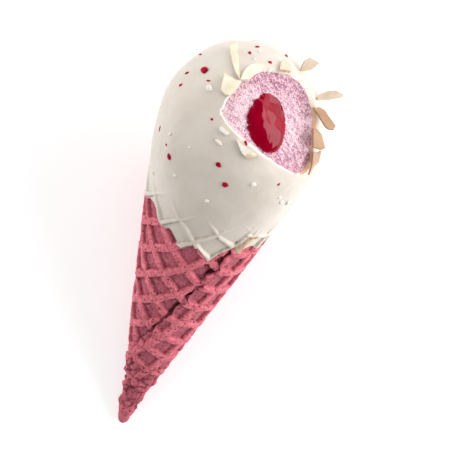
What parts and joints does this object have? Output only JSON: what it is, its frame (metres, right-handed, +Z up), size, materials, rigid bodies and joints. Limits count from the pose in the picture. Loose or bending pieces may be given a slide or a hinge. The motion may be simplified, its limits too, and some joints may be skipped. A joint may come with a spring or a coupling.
{
  "type": "ice cream cone",
  "caption": "Ice cream cone lying on its side: rolled pink waffle cone, white coating with fruit bits, and a bite that shows pink ice cream round a jam core.",
  "frame": {"origin": "middle of the flat spot that the coating rests on", "axes": "+Z up, +X along the floor from the cone's tip to the ball, +Y to the left seen from the tip"},
  "size_m": [0.1666, 0.0569, 0.058],
  "materials": {
    "wafer": "matte baked",
    "coating": "satin",
    "ice_cream": "matte frozen",
    "jam": "wet gloss",
    "shard": "matte broken"
  },
  "bodies": {
    "root": {"wafer": "wafer", "coating": "coating", "ice_cream": "ice_cream", "jam_core": "jam", "shard_crown_long": "shard", "shard_crown_flat": "shard", "shard_left": "shard", "shard_top": "shard", "shard_lower_left": "shard", "shard_chip": "shard", "shard_top_right": "shard", "shard_side_high": "shard", "shard_side_mid": "shard", "shard_side_low": "shard", "shard_corner": "shard"}
  },
  "joints": []
}
